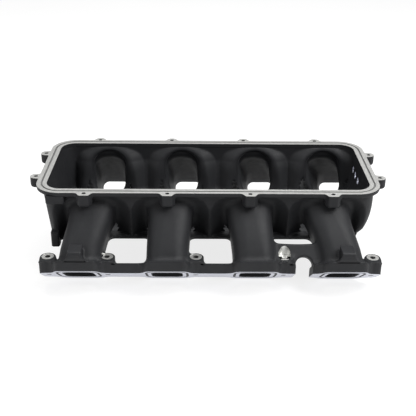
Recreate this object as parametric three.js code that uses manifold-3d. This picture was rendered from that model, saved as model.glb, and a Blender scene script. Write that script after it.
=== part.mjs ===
// Lower half of a cast aluminium V8 intake manifold: an open plenum box with a machined rail,
// eight ram runners and the two cylinder-head flanges that they end in.
// Working frame: X along the engine, +Y to the rear bank, +Z up, Z = 0 at the machined rail face.
// The finished group is shifted so that Z = 0 is the lowest edge and X = Y = 0 the middle of the box.
import * as THREE from 'three';
import Module from 'manifold-3d';
import { mergeVertices } from 'three/addons/utils/BufferGeometryUtils.js';
import { ConvexGeometry } from 'three/addons/geometries/ConvexGeometry.js';

const wasm = await Module();
wasm.setup();

// ---------- driving dimensions, mm ----------
const GAP = 0.3; // between sections of the casting that meet

const RAIL = { halfLength: 207.7, halfWidth: 78.5, radius: 20, width: 13, thickness: 6 };
const RAIL_GROOVE = { inset: 5, width: 3, depth: 2.4 };
const RAIL_BOLT = { radius: 2.7, longPitch: 104, longY: 92.2, endX: 225.2, endY: 39.8 };
const EAR = { halfBase: 9.6, halfTip: 6, reach: 7, root: 7, depth: 17, endDepth: 14, chamfer: 1.5 };
const ROUND_EAR = { radius: 7.6, halfNeck: 7.2, neck: 2, startAngle: 0.3 };

const TUB = { halfLength: 213.4, halfWidth: 84.5, radius: 26, wall: 5.6, floor: -76, floorThickness: 5 };
const TUB_DRAFT = 8.5; // how far the left end wall leans in by the floor
const HIP = { top: -20, reach: 22.1, bend: 18 }; // the right end wall curves in under this height
const WAIST = { z: -25, inset: 12, reach: 190 }; // the long walls lean in below this height
const POD = { halfWidth: 50, archRadius: 94, top: -3.6, depth: 11.5, blend: 22, steps: 3 }; // round a mouth
const CORNER_PAD = { x: -193.5, width: 23.5, height: 10.5, depth: 7.2 };
const CORNER_LEG = { x: -198, width: 11, depth: 14, drop: 4.5 }; // below the pad, at the floor
const END_HOLES = { radius: 4.75, z: -27.5, ys: [12.2, 31.7, 51.2] };
const END_CUTS = [-190, 196]; // where the end walls meet the bays of the long walls
const RAIL_CUT = 187; // where the end rails meet the long ones

const PORT_PITCH = 111.76; // 4.40 in cylinder spacing
const PORT = { width: 39.5, height: 48, radius: 9, y: 118.9, z: -101.6 };
const PORT_TILT = THREE.MathUtils.degToRad(53); // port axis below the horizontal
const RUNNER_WALL = 6.5;
const MOUTH = { y: 67.5, z: -39.5, width: 44, height: 56, radius: 20 };
// The bell-shaped lip of a mouth: how much wider it is at each distance outwards from the mouth.
const BELL = [{ out: 8, grow: 1 }, { out: 4, grow: 5 }, { out: -1, grow: 9 }, { out: -8, grow: 27 }];
// Sections up a runner: distance back from the port face, drift towards the mouth, lift and size.
const SECTIONS = [
  { back: -3, drift: 0, lift: 0, width: PORT.width, height: PORT.height, radius: PORT.radius },
  { back: 30, drift: 0.26, lift: 0, width: 40.5, height: 49, radius: 12 },
  { back: 66, drift: 0.86, lift: 1.5, width: 42, height: 50, radius: 16 },
];

const FLANGE = { thickness: 12, corner: 5, barOuter: 16, barInner: -26 };
const FLANGE_PAD = { outer: 36, inner: -40, halfTop: 20, halfBase: 36 };
const FLANGE_BOLT = { offset: 36.5, firstOffset: -38, radius: 3.4, seatRadius: 7.7 };
const BOSS = { radius: 10, nose: 3.6, margin: 0.6 };
const SEAT_Z = -75.4; // spot faces of the flange bolts
const SEAL = { offset: 4.6, width: 3, depth: 2.4 };
const NOTCH = { left: 109.8, right: 131.5, depth: 22 };
const WEB = { outer: 17, thickness: 14, sideHeight: 44, sag: 6 };
const FOOT_BOSS = { width: 16.5, front: 149.6, depth: 22, top: -53, bottom: -79, shoulder: 6, slope: 3 };
const FAR = 400; // past the ends of the part, for cutting tools
const PAST = 40; // past a face that a cutting tool runs through
const BELOW = -160; // under the whole part

// Runner mouth centres along X, and the middle of each row of ports.
const BANKS = [
  { name: 'front', turned: true, portMiddle: 3.6, mouths: [-149.5, -49.2, 52.6, 152.4] },
  { name: 'rear', turned: false, portMiddle: 27.6, mouths: [-142, -37.2, 67.6, 167] },
];

const X_AXIS = new THREE.Vector3(1, 0, 0);
const Y_AXIS = new THREE.Vector3(0, 1, 0);
const Z_AXIS = new THREE.Vector3(0, 0, 1);
const CENTRE = new THREE.Vector3();

const TUB_TOP = -RAIL.thickness - GAP;
const FLOOR_TOP = TUB.floor + TUB.floorThickness;

// ---------- solids ----------
function toSolid(geometry) {
  geometry.deleteAttribute('normal');
  geometry.deleteAttribute('uv');
  const merged = mergeVertices(geometry, 1e-3);
  const mesh = new wasm.Mesh({
    numProp: 3,
    vertProperties: merged.attributes.position.array,
    triVerts: new Uint32Array(merged.index.array),
  });
  return new wasm.Manifold(mesh);
}

function toMesh(name, solid, material) {
  const { vertProperties, triVerts } = solid.getMesh();
  const geometry = new THREE.BufferGeometry();
  geometry.setAttribute('position', new THREE.BufferAttribute(vertProperties, 3));
  geometry.setIndex(new THREE.BufferAttribute(triVerts, 1));
  geometry.computeVertexNormals();
  const mesh = new THREE.Mesh(geometry, material);
  mesh.name = name;
  return mesh;
}

const join = (solids) => solids.reduce((sum, next) => sum.add(next));
const cut = (solid, tools) => tools.reduce((rest, tool) => rest.subtract(tool), solid);

// The largest body of a cut piece, without the slivers that a cut can leave beside it.
function mainBody(solid) {
  const bodies = solid.decompose();
  return bodies.reduce((best, next) => (next.volume() > best.volume() ? next : best));
}

// ---------- outlines ----------
function roundedRect(width, height, radius) {
  const x = width / 2 - radius;
  const y = height / 2 - radius;
  const shape = new THREE.Shape();
  shape.absarc(x, y, radius, 0, Math.PI / 2);
  shape.absarc(-x, y, radius, Math.PI / 2, Math.PI);
  shape.absarc(-x, -y, radius, Math.PI, 1.5 * Math.PI);
  shape.absarc(x, -y, radius, 1.5 * Math.PI, 2 * Math.PI);
  shape.closePath();
  return shape;
}

function polygon(points) {
  return new THREE.Shape(points.map(([x, y]) => new THREE.Vector2(x, y)));
}

function ringShape(width, height, radius, inner) {
  const shape = roundedRect(width, height, radius);
  shape.holes.push(roundedRect(width - 2 * inner, height - 2 * inner, radius - inner));
  return shape;
}

// Extrudes an outline along its local Z from `from` to `to`, in the frame given by two axes.
function prism(shape, from, to, segments = 2, origin = new THREE.Vector3(), xAxis = X_AXIS, yAxis = Y_AXIS) {
  const geometry = new THREE.ExtrudeGeometry(shape, {
    depth: to - from,
    bevelEnabled: false,
    curveSegments: segments,
  });
  geometry.translate(0, 0, from);
  const zAxis = new THREE.Vector3().crossVectors(xAxis, yAxis);
  geometry.applyMatrix4(new THREE.Matrix4().makeBasis(xAxis, yAxis, zAxis).setPosition(origin));
  return geometry;
}

function drill(radius, x, y, from, to, segments = 16) {
  const geometry = new THREE.CylinderGeometry(radius, radius, to - from, segments);
  geometry.rotateX(Math.PI / 2);
  geometry.translate(x, y, (from + to) / 2);
  return geometry;
}

// ---------- frame of one bank ----------
// A bank is drawn as the rear one, with x counted along it, then turned half round for the front.
const PORT_UP = new THREE.Vector3(0, Math.sin(PORT_TILT), Math.cos(PORT_TILT));
const PORT_BACK = new THREE.Vector3(0, -Math.cos(PORT_TILT), Math.sin(PORT_TILT));

const along = (bank, x) => (bank.turned ? -x : x);
const turn = (bank, geometry) => (bank.turned ? geometry.rotateZ(Math.PI) : geometry);
const bankSolid = (bank, geometry) => toSolid(turn(bank, geometry));

function portPoint(x, up, back) {
  return new THREE.Vector3(x, PORT.y, PORT.z).addScaledVector(PORT_UP, up).addScaledVector(PORT_BACK, back);
}

function portPrism(shape, from, to, x = 0) {
  return prism(shape, from, to, 2, portPoint(x, 0, 0), X_AXIS, PORT_UP);
}

function portX(bank, index) {
  return bank.portMiddle + (index - 1.5) * PORT_PITCH;
}

// ---------- runners ----------
// A station is a rounded rectangle across the runner. The loft starts as a straight prism with one
// step per station, and each of its rings is then moved to the outline of its own station.
function loft(bank, stations) {
  const steps = stations.length - 1;
  const plain = roundedRect(2, 2, 0.5);
  const ring = plain.getPoints(2);
  const geometry = new THREE.ExtrudeGeometry(plain, {
    depth: steps,
    steps,
    bevelEnabled: false,
    curveSegments: 2,
  });
  const { position } = geometry.attributes;
  const outlines = stations.map((s) => roundedRect(s.width, s.height, s.radius).getPoints(2));
  for (let i = 0; i < position.count; i += 1) {
    const corner = new THREE.Vector2(position.getX(i), position.getY(i));
    const step = Math.round(position.getZ(i));
    const p = outlines[step][ring.findIndex((q) => q.distanceTo(corner) < 1e-4)];
    const { centre, up } = stations[step];
    const place = centre.clone().addScaledVector(X_AXIS, p.x).addScaledVector(up, p.y);
    position.setXYZ(i, place.x, place.y, place.z);
  }
  return bankSolid(bank, geometry);
}

function station(centre, up, { width, height, radius }, skin) {
  return { centre, up, width: width + 2 * skin, height: height + 2 * skin, radius: radius + skin };
}

// The air path from the port face to inside the plenum; `skin` thickens it to the outside.
function runnerStations(bank, index, skin) {
  const port = along(bank, portX(bank, index));
  const mouth = along(bank, bank.mouths[index]);
  const climb = SECTIONS.map((section) => {
    const x = THREE.MathUtils.lerp(port, mouth, section.drift);
    return station(portPoint(x, section.lift, section.back), PORT_UP, section, skin);
  });
  return [...climb, station(new THREE.Vector3(mouth, MOUTH.y, MOUTH.z), Z_AXIS, MOUTH, skin)];
}

function mouthBell(bank, index) {
  const mouth = along(bank, bank.mouths[index]);
  return loft(bank, BELL.map(({ out, grow }) => {
    const centre = new THREE.Vector3(mouth, MOUTH.y + out, MOUTH.z);
    return station(centre, Z_AXIS, MOUTH, grow / 2);
  }));
}

const passages = BANKS.map((bank) =>
  bank.mouths.map((_, index) => loft(bank, runnerStations(bank, index, 0))));

// ---------- plenum tub ----------
// The end walls seen from the side: the left one leans in, and the right one curves in below the hip.
function sideProfile(halfLength, top, floor) {
  const side = new THREE.Shape();
  side.moveTo(-halfLength, top);
  side.lineTo(-halfLength + TUB_DRAFT, floor);
  side.lineTo(halfLength - HIP.reach, floor);
  side.quadraticCurveTo(halfLength, floor + HIP.bend, halfLength, HIP.top);
  side.lineTo(halfLength, top);
  side.closePath();
  return side;
}

// What the long wall on side s loses by leaning in below the waist.
function waistWedge(s, halfWidth, floor) {
  const past = halfWidth + 20;
  const wedge = polygon([
    [s * halfWidth, WAIST.z],
    [s * (halfWidth - WAIST.inset), floor - 0.01],
    [s * past, floor - 0.01],
    [s * past, WAIST.z],
  ]);
  return toSolid(prism(wedge, -WAIST.reach, WAIST.reach, 1, CENTRE, Y_AXIS, Z_AXIS));
}

// The tub's outline grown by `grow`, or shrunk if it is negative, between two heights.
function tubBlock(grow, top, floor) {
  const halfLength = TUB.halfLength + grow;
  const halfWidth = TUB.halfWidth + grow;
  const plan = roundedRect(2 * halfLength, 2 * halfWidth, TUB.radius + grow);
  const block = toSolid(prism(plan, floor, top, 3));
  const profile = sideProfile(halfLength, top, floor);
  const sides = toSolid(prism(profile, -FAR, FAR, 4, CENTRE, X_AXIS, Z_AXIS));
  return cut(block.intersect(sides), [-1, 1].map((s) => waistWedge(s, halfWidth, floor)));
}

// Outline of the arch, drawn in by `inset`, in a plane across the bank at distance y from the middle.
function archPoints(x, y, inset, bottom) {
  const half = POD.halfWidth - inset;
  const radius = POD.archRadius - inset;
  const tip = Math.asin(half / radius);
  const arch = new THREE.Path();
  arch.moveTo(-half, bottom);
  arch.lineTo(half, bottom);
  arch.absarc(0, POD.top - POD.archRadius, radius, Math.PI / 2 - tip, Math.PI / 2 + tip);
  return arch.getPoints(4).map((p) => new THREE.Vector3(x + p.x, y, p.y));
}

// The arched bulge round one mouth: it pushes the wall inwards, and leaves a recess outside.
function podArch(bank, index, wallY, bottom) {
  const x = along(bank, bank.mouths[index]);
  const points = archPoints(x, wallY + 30, 0, bottom);
  for (let step = 0; step <= POD.steps; step += 1) {
    const angle = (step / POD.steps) * (Math.PI / 2);
    const y = wallY - POD.depth * Math.sin(angle);
    points.push(...archPoints(x, y, POD.blend * (1 - Math.cos(angle)), bottom));
  }
  return bankSolid(bank, new ConvexGeometry(points));
}

function eachRunner(make) {
  return BANKS.flatMap((bank) => bank.mouths.map((_, index) => make(bank, index)));
}

// The outside of the tub with its eight recesses, grown by `grow` to keep clear of what meets it.
function tubOutside(grow) {
  const block = tubBlock(grow, TUB_TOP, TUB.floor - grow);
  const keepFloor = FLOOR_TOP + grow;
  const recesses = eachRunner((bank, index) => podArch(bank, index, TUB.halfWidth + grow, keepFloor));
  return cut(block, recesses);
}

function tubInside() {
  const inner = tubBlock(-TUB.wall, 10, FLOOR_TOP);
  const wallY = TUB.halfWidth - TUB.wall;
  return cut(inner, eachRunner((bank, index) => podArch(bank, index, wallY, TUB.floor - PAST)));
}

function cornerPad() {
  const { x, width, height, depth } = CORNER_PAD;
  const behind = 20;
  const pad = new THREE.BoxGeometry(width, depth + behind, height);
  pad.translate(x, -TUB.halfWidth + (behind - depth) / 2, TUB_TOP - height / 2);
  return toSolid(pad);
}

function cornerLeg() {
  const { x, width, depth, drop } = CORNER_LEG;
  const above = 3;
  const leg = new THREE.BoxGeometry(width, depth, drop + above);
  leg.translate(x, depth / 2 - TUB.halfWidth, TUB.floor + (above - drop) / 2);
  return toSolid(leg);
}

function endHole(y) {
  const hole = drill(END_HOLES.radius, 0, 0, TUB.halfLength - PAST, TUB.halfLength + PAST, 14);
  hole.rotateY(Math.PI / 2);
  hole.translate(0, y, END_HOLES.z);
  return toSolid(hole);
}

function plenumTub() {
  const body = join([tubOutside(0), cornerPad(), cornerLeg()]);
  const bells = eachRunner(mouthBell);
  return cut(body, [tubInside(), ...passages.flat(), ...bells, ...END_HOLES.ys.map(endHole)]);
}

function block(low, high) {
  const size = high.map((value, i) => value - low[i]);
  const geometry = new THREE.BoxGeometry(...size);
  geometry.translate(...low.map((value, i) => value + size[i] / 2));
  return toSolid(geometry);
}

// The tub divided into its floor, two end walls, and a bay of wall round each mouth.
function tubSections() {
  const tub = plenumTub();
  const [left, right] = END_CUTS;
  const above = FLOOR_TOP + GAP;
  const sections = [
    ['plenum_floor', block([-FAR, -FAR, -FAR], [FAR, FAR, FLOOR_TOP])],
    ['end_wall_left', block([-FAR, -FAR, above], [left, FAR, FAR])],
    ['end_wall_right', block([right + GAP, -FAR, above], [FAR, FAR, FAR])],
  ];
  BANKS.forEach(({ name, turned, mouths }) => {
    const joints = mouths.slice(1).map((x, i) => (x + mouths[i]) / 2);
    const starts = [left, ...joints].map((x) => x + GAP);
    const ends = [...joints, right];
    const [nearY, farY] = turned ? [-FAR, 0] : [0, FAR];
    starts.forEach((start, i) => {
      sections.push([`bay_${name}_${i + 1}`, block([start, nearY, above], [ends[i], farY, FAR])]);
    });
  });
  return sections.map(([name, space]) => [name, mainBody(tub.intersect(space))]);
}

// ---------- machined rail ----------
function roundEar() {
  const { radius, halfNeck, neck, startAngle } = ROUND_EAR;
  const shape = new THREE.Shape();
  shape.moveTo(EAR.halfBase, -EAR.root);
  shape.lineTo(EAR.halfBase, 0);
  shape.lineTo(halfNeck, neck);
  shape.absarc(0, 0, radius, startAngle, Math.PI - startAngle);
  shape.lineTo(-halfNeck, neck);
  shape.lineTo(-EAR.halfBase, 0);
  shape.lineTo(-EAR.halfBase, -EAR.root);
  shape.closePath();
  return shape;
}

function taperedEar() {
  const { halfBase, halfTip, reach, root, chamfer } = EAR;
  return polygon([
    [halfBase, -root],
    [halfBase, 0],
    [halfTip, reach - chamfer],
    [halfTip - chamfer, reach],
    [chamfer - halfTip, reach],
    [-halfTip, reach - chamfer],
    [-halfBase, 0],
    [-halfBase, -root],
  ]);
}

// Every rail bolt, with the outward direction, outline and depth of its ear.
function railBolts() {
  const { longPitch, longY, endX, endY } = RAIL_BOLT;
  const bolts = [];
  for (let i = 0; i < 4; i += 1) {
    const x = (i - 1.5) * longPitch;
    bolts.push({ x, y: -longY, out: Y_AXIS.clone().negate(), shape: taperedEar(), depth: EAR.depth });
    bolts.push({ x, y: longY, out: Y_AXIS, shape: roundEar(), depth: EAR.depth });
  }
  for (const sx of [-1, 1]) {
    for (const sy of [-1, 1]) {
      const out = new THREE.Vector3(sx, 0, 0);
      bolts.push({ x: sx * endX, y: sy * endY, out, shape: roundEar(), depth: EAR.endDepth });
    }
  }
  return bolts;
}

// The rail's boss columns stand clear of the tub wall behind them.
function lowerTub() {
  const plan = roundedRect(2 * (TUB.halfLength + GAP), 2 * (TUB.halfWidth + GAP), TUB.radius);
  return toSolid(prism(plan, TUB.floor, TUB_TOP, 6));
}

function railFlange(clearances) {
  const { halfLength, halfWidth, radius, width, thickness } = RAIL;
  const outer = [2 * (halfLength + width), 2 * (halfWidth + width), radius + width];
  const rail = toSolid(prism(ringShape(...outer, width), -thickness, 0, 4));
  const { inset, width: grooveWidth, depth: grooveDepth } = RAIL_GROOVE;
  const groove = ringShape(outer[0] - 2 * inset, outer[1] - 2 * inset, outer[2] - inset, grooveWidth);
  const grooveCut = toSolid(prism(groove, -grooveDepth, 5, 4));
  const ears = railBolts().map(({ x, y, out, shape, depth }) => {
    const side = new THREE.Vector3().crossVectors(out, Z_AXIS);
    return toSolid(prism(shape, -depth, 0, 4, new THREE.Vector3(x, y, 0), side, out));
  });
  const holes = railBolts().map(({ x, y }) => toSolid(drill(RAIL_BOLT.radius, x, y, -PAST, PAST, 12)));
  return cut(join([rail, ...ears]), [grooveCut, ...holes, lowerTub(), ...clearances]);
}

// The rail divided into its two long sides and its two ends.
function railSections(clearances) {
  const rail = railFlange(clearances);
  const cutX = RAIL_CUT;
  const sections = [
    ['rail_front', block([-cutX, -FAR, -FAR], [cutX, 0, FAR])],
    ['rail_rear', block([-cutX, 0, -FAR], [cutX, FAR, FAR])],
    ['rail_left', block([-FAR, -FAR, -FAR], [-cutX - GAP, FAR, FAR])],
    ['rail_right', block([cutX + GAP, -FAR, -FAR], [FAR, FAR, FAR])],
  ];
  return sections.map(([name, space]) => [name, mainBody(rail.intersect(space))]);
}

// ---------- port flanges ----------
function flangeBoltXs(bank) {
  const first = along(bank, portX(bank, 0) + FLANGE_BOLT.firstOffset);
  const others = bank.mouths.map((_, index) => along(bank, portX(bank, index) + FLANGE_BOLT.offset));
  return [first, ...others];
}

function flangeEnds(bank) {
  const xs = flangeBoltXs(bank);
  const margin = BOSS.radius + BOSS.margin;
  return [Math.min(...xs) - margin, Math.max(...xs) + margin];
}

// One long edge of the flange, from left to right: a bar that widens into a pad at each port.
function flangeEdge(bank, bar, pad) {
  const { halfTop, halfBase } = FLANGE_PAD;
  const centres = bank.mouths.map((_, index) => along(bank, portX(bank, index)));
  centres.sort((a, b) => a - b);
  return centres.flatMap((x) => [
    [x - halfBase, bar],
    [x - halfTop, pad],
    [x + halfTop, pad],
    [x + halfBase, bar],
  ]);
}

// Plan of the flange, counted across the port face: its walls are vertical, as the casting is drawn.
function flangePlan(bank) {
  const { barOuter, barInner, corner } = FLANGE;
  const [left, right] = flangeEnds(bank);
  const points = [
    [left, barInner + corner],
    [left, barOuter - corner],
    [left + corner, barOuter],
    ...flangeEdge(bank, barOuter, FLANGE_PAD.outer),
    [right - corner, barOuter],
    [right, barOuter - corner],
    [right, barInner + corner],
    [right - corner, barInner],
    ...flangeEdge(bank, barInner, FLANGE_PAD.inner).reverse(),
    [left + corner, barInner],
  ];
  return polygon(points.map(([x, t]) => [x, PORT.y + t * Math.sin(PORT_TILT)]));
}

// The space between two distances back from the port face.
function slab(bank, from, to) {
  return bankSolid(bank, portPrism(roundedRect(2 * FAR, FAR, 1), from, to));
}

// What every piece standing on a port flange is trimmed to.
const aboveFlange = (bank) => slab(bank, FLANGE.thickness + GAP, FAR);

function boltHole(bank, x) {
  return bankSolid(bank, drill(FLANGE_BOLT.radius, x, PORT.y, BELOW, 0));
}

// The bridge notch is open at the bottom: a slot with a round end, cut along the port axis.
function notchCutter(bank) {
  const half = (NOTCH.right - NOTCH.left) / 2;
  const middle = along(bank, (NOTCH.right + NOTCH.left) / 2);
  const slot = new THREE.Shape();
  slot.moveTo(half, -PAST);
  slot.lineTo(half, NOTCH.depth - half);
  slot.absarc(0, NOTCH.depth - half, half, 0, Math.PI);
  slot.lineTo(-half, -PAST);
  slot.closePath();
  return bankSolid(bank, prism(slot, -2 * PAST, 2 * PAST, 4, portPoint(middle, 0, 0), X_AXIS, PORT_BACK));
}

function sealShape(clearance) {
  const grow = SEAL.offset + SEAL.width - clearance;
  const width = PORT.width + 2 * grow;
  const height = PORT.height + 2 * grow;
  return ringShape(width, height, PORT.radius + grow, SEAL.width - 2 * clearance);
}

function portSeal(bank, index) {
  const x = along(bank, portX(bank, index));
  return bankSolid(bank, portPrism(sealShape(GAP), 0.2, SEAL.depth - GAP, x));
}

// A bolt boss is a vertical post with its nose towards the flange's outer edge.
function bossPost(bank, x, grow) {
  const radius = BOSS.radius + grow;
  const plan = new THREE.Shape();
  plan.absarc(x, PORT.y, radius, Math.PI, 2 * Math.PI);
  plan.absarc(x, PORT.y + BOSS.nose, radius, 0, Math.PI);
  plan.closePath();
  return bankSolid(bank, prism(plan, BELOW, SEAT_Z + grow, 5));
}

function flangeBoss(bank, x, clearances) {
  const post = bossPost(bank, x, 0).intersect(aboveFlange(bank));
  return mainBody(cut(post, [boltHole(bank, x), ...clearances]));
}

function seatCutter(bank, x) {
  return bankSolid(bank, drill(FLANGE_BOLT.seatRadius, x, PORT.y, SEAT_Z, SEAT_Z + PAST, 20));
}

// Bracket bosses at the feet of the two outer front runners, standing proud of the flange.
function footBosses(bank) {
  if (bank.name !== 'front') {
    return [];
  }
  const { width, front, depth, top, bottom, shoulder, slope } = FOOT_BOSS;
  const profile = polygon([
    [front - depth, bottom],
    [front, bottom],
    [front, top - shoulder],
    [front - slope, top],
    [front - depth, top],
  ]);
  return [0, 3].map((index) => {
    const x = along(bank, portX(bank, index)) - width / 2;
    const geometry = prism(profile, 0, width, 1, new THREE.Vector3(x, 0, 0), Y_AXIS, Z_AXIS);
    return { index, solid: bankSolid(bank, geometry) };
  });
}

function portFlange(bank) {
  const plan = bankSolid(bank, prism(flangePlan(bank), BELOW, 0));
  const posts = flangeBoltXs(bank).map((x) => bossPost(bank, x, 0));
  const feet = footBosses(bank).map(({ solid }) => solid);
  const plate = join([plan, ...posts, ...feet]).intersect(slab(bank, 0, FLANGE.thickness));
  const bore = roundedRect(PORT.width, PORT.height, PORT.radius);
  const ports = bank.mouths.flatMap((_, index) => {
    const x = along(bank, portX(bank, index));
    const through = portPrism(bore, -5, FLANGE.thickness + 5, x);
    const groove = portPrism(sealShape(0), -5, SEAL.depth, x);
    return [bankSolid(bank, through), bankSolid(bank, groove)];
  });
  const holes = flangeBoltXs(bank).map((x) => boltHole(bank, x));
  const notches = bank.name === 'front' ? [notchCutter(bank)] : [];
  return cut(plate, [...ports, ...holes, ...notches]);
}

// ---------- runner bodies ----------
function runnerOutside(bank, index, grow) {
  return loft(bank, runnerStations(bank, index, RUNNER_WALL + grow));
}

function runner(bank, index, clearances) {
  const feet = footBosses(bank).filter((foot) => foot.index === index);
  const body = join([runnerOutside(bank, index, 0), ...feet.map(({ solid }) => solid)]);
  const passage = passages[BANKS.indexOf(bank)][index];
  return mainBody(cut(body.intersect(aboveFlange(bank)), [passage, ...clearances]));
}

// ---------- bridge web between the third and fourth front runners ----------
function bridgeWeb(bank, clearances) {
  const left = along(bank, bank.mouths[2]);
  const right = along(bank, portX(bank, 3));
  const low = FLANGE.thickness + GAP;
  const high = WEB.sideHeight;
  const web = new THREE.Shape();
  web.moveTo(right, low);
  web.lineTo(right, high);
  web.quadraticCurveTo((left + right) / 2, high - 2 * WEB.sag, left, high);
  web.lineTo(left, low);
  web.closePath();
  const plate = prism(web, 0, WEB.thickness, 3, portPoint(0, WEB.outer, 0), X_AXIS, PORT_BACK);
  return mainBody(cut(bankSolid(bank, plate), [notchCutter(bank), ...clearances]));
}

// ---------- assembly ----------
const casting = new THREE.MeshStandardMaterial({ color: 0x2b2c2f, roughness: 0.62, metalness: 0.1 });
const machined = new THREE.MeshStandardMaterial({ color: 0xc9c8c4, roughness: 0.35, metalness: 0.9 });
const rubber = new THREE.MeshStandardMaterial({ color: 0x111112, roughness: 0.8, metalness: 0 });

const manifold = new THREE.Group();
const tubClearance = tubOutside(GAP);
const runnerClearances = BANKS.map((bank) =>
  bank.mouths.map((_, index) => runnerOutside(bank, index, GAP)));

for (const [name, section] of tubSections()) {
  manifold.add(toMesh(name, section, casting));
}
for (const [name, section] of railSections(runnerClearances.flat())) {
  manifold.add(toMesh(name, section, machined));
}

// The notch parts the front flange in two; its shorter piece is the one to the right.
function addFlange(bank) {
  const plates = portFlange(bank).decompose();
  plates.sort((a, b) => b.volume() - a.volume());
  plates.forEach((plate, index) => {
    const name = index === 0 ? `port_flange_${bank.name}` : `port_flange_${bank.name}_end`;
    manifold.add(toMesh(name, plate, machined));
  });
}

BANKS.forEach((bank, bankIndex) => {
  const clearances = runnerClearances[bankIndex];
  const bosses = flangeBoltXs(bank).sort((a, b) => along(bank, a) - along(bank, b));
  const seats = bosses.map((x) => seatCutter(bank, x));
  addFlange(bank);
  bank.mouths.forEach((_, index) => {
    const place = `${bank.name}_${index + 1}`;
    const tube = runner(bank, index, [tubClearance, ...seats]);
    manifold.add(toMesh(`runner_${place}`, tube, casting));
    manifold.add(toMesh(`port_seal_${place}`, portSeal(bank, index), rubber));
  });
  bosses.forEach((x, index) => {
    manifold.add(toMesh(`bolt_boss_${bank.name}_${index + 1}`, flangeBoss(bank, x, clearances), casting));
  });
  if (bank.name === 'front') {
    const bossSpaces = bosses.map((x) => bossPost(bank, x, GAP));
    const web = bridgeWeb(bank, [...clearances, ...bossSpaces, ...seats, tubClearance]);
    manifold.add(toMesh('bridge_web', web, casting));
  }
});

// Stand the part on its lowest edges, in the middle of its own box.
const box = new THREE.Box3().setFromObject(manifold);
manifold.position.set(-(box.min.x + box.max.x) / 2, -(box.min.y + box.max.y) / 2, -box.min.z);

export default manifold;
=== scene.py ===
"""Cast aluminium intake manifold base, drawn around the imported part.

The casting is one distance field, in millimetres from the centre of the machined rail face: X runs
along the engine, Y to the rear bank and Z up. Each piece takes its share of that field, so that the
fillets run on from piece to piece. Holes, grooves and machined faces are cut afterwards, with crisp
edges, apart from the room round the bolt seats in the runners, which is part of the field.
"""
import math

import bmesh
import bpy
import numpy as np
from mathutils import Matrix, Vector


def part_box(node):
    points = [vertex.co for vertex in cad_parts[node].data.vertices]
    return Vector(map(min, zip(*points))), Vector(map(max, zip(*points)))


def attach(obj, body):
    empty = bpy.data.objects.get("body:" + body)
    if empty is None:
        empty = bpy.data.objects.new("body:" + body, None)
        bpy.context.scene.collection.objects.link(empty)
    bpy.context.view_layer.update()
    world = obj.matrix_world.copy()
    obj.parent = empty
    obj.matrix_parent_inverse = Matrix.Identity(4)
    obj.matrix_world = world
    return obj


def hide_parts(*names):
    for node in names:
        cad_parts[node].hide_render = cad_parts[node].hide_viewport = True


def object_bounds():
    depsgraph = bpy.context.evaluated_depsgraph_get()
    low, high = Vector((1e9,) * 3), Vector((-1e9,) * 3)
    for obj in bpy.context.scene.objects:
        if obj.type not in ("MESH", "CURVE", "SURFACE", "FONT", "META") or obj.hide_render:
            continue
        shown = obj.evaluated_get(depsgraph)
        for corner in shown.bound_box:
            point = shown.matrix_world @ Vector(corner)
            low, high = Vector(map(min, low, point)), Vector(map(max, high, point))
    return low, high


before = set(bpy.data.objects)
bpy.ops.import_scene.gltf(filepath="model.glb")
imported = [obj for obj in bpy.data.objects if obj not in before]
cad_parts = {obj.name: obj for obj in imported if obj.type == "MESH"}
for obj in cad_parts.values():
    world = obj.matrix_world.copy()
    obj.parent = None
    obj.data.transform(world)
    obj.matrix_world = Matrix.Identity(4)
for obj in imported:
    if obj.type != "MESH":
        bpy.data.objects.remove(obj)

CAD_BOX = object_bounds()

# ---------- driving dimensions, mm ----------
MM = 0.001
RAIL = {"half_length": 207.7, "half_width": 78.5, "radius": 20, "width": 13, "thickness": 6}
RAIL_GROOVE = {"inset": 5.2, "width": 2.4, "depth": 1.6}
RAIL_BOLT = {"radius": 2.6, "pitch": 104, "long_y": 92.2, "end_x": 225.2, "end_y": 39.8}
EAR = {"half_base": 9.6, "half_tip": 6, "reach": 7, "depth": 17, "end_depth": 14, "round": 7.6}

TUB = {"half_length": 213.4, "half_width": 84.5, "radius": 26, "wall": 5.6, "floor": -76, "plate": 5}
TUB_TOP = -RAIL["thickness"] + 0.6
DRAFT = 8.5
HIP = {"z": -20, "reach": 22.1, "sweep": 76, "bow": 20}
WAIST = {"z": -25, "inset": 12, "reach": 190, "ease": 6}
POD = {"half_width": 50, "arch": 94, "centre_z": -97.6, "depth": 11.5, "blend": 22, "corner": 14}
RECESS_LIP = {"z": -71, "ease": 3}
CORNER_PAD = {"x": -193.5, "width": 23.5, "height": 10.5, "depth": 7.2}
CORNER_LEG = {"x": -198, "width": 11, "depth": 14, "drop": 4.5}
END_HOLES = {"radius": 4.75, "z": -27.5, "ys": (12.2, 31.7, 51.2)}

PORT_PITCH = 111.76
PORT = {"width": 39.5, "height": 48, "radius": 9, "y": 118.9, "z": -101.6}
PORT_TILT = math.radians(53)
RUNNER_WALL = 6.5
RUNNER_ROOT = 57  # where a runner's wall starts, inside the plenum wall
MOUTH = {"y": 67.5, "z": -39.5, "width": 44, "height": 56, "radius": 20, "flare": 6, "flare_run": 9}
SHOULDER_SLOPE = 0.64
RUNNER_KNOTS = (-3, 30, 66, 81)
RUNNER_LEAN = (0, 0.26, 0.86, 1)
RUNNER_WIDTHS = (39.5, 40.5, 42, 44)
RUNNER_HEIGHTS = (48, 49, 50, 54)
RUNNER_RADII = (9, 12, 16, 20)

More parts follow.
